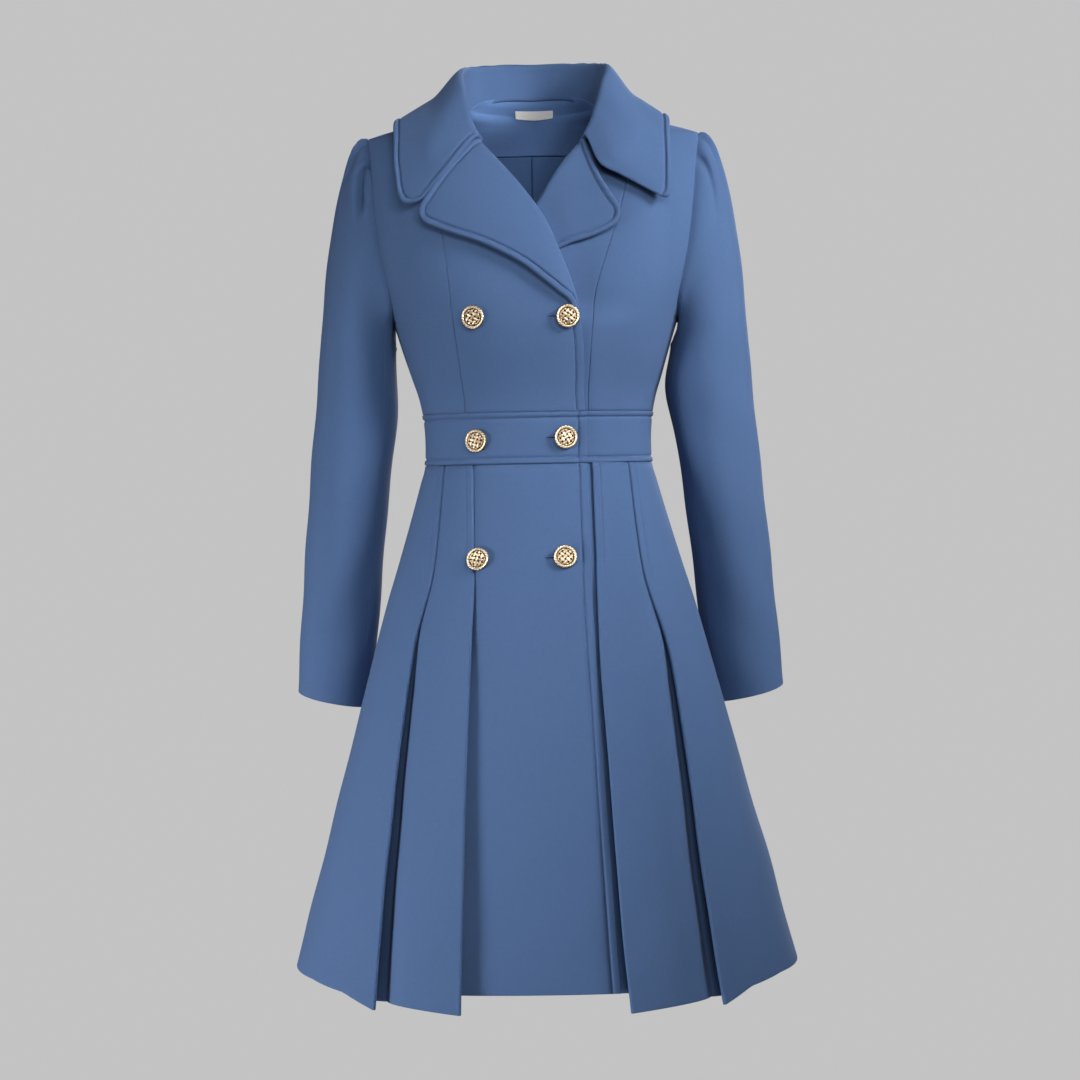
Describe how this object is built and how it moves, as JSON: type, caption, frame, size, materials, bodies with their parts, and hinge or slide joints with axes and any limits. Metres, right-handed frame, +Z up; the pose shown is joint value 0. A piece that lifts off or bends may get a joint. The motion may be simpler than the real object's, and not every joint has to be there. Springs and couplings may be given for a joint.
{
  "type": "flared coat",
  "caption": "Filled-out hollow flared coat in blue coating: wide notched collar, double-breasted front, waistband, long sleeves with tucked heads and a skirt with knife pleats.",
  "frame": {"origin": "midway between the two side neck points, where the wearer's shoulders carry the coat", "axes": "+Z up the back of the neck, -Y towards the front opening, +X to the wearer's left"},
  "size_m": [0.5482, 0.3655, 1.0235],
  "materials": {
    "coating": "soft blue wool-like coating, milled, matt with a faint sheen",
    "lining": "smooth blue lining",
    "label": "bare white woven label",
    "gilt": "polished pale gold metal"
  },
  "bodies": {
    "root": {"front_centre_right": "coating", "front_side_right": "coating", "back_side_right": "coating", "back_centre_right": "coating", "front_centre_left": "coating", "front_side_left": "coating", "back_side_left": "coating", "back_centre_left": "coating", "band_right": "coating", "band_left": "coating", "band_back": "coating", "skirt_front_right": "coating", "skirt_front_left": "coating", "skirt_back_right": "coating", "skirt_back_left": "coating", "sleeve_top_right": "coating", "sleeve_under_right": "coating", "sleeve_top_left": "coating", "sleeve_under_left": "coating", "collar": "coating", "lapel_right": "coating", "lapel_left": "coating", "back_facing": "coating", "back_lining": "lining", "neck_label": "label", "button_upper_outer": "gilt", "button_upper_inner": "gilt", "button_waist_outer": "gilt", "button_waist_inner": "gilt", "button_lower_outer": "gilt", "button_lower_inner": "gilt"}
  },
  "joints": []
}
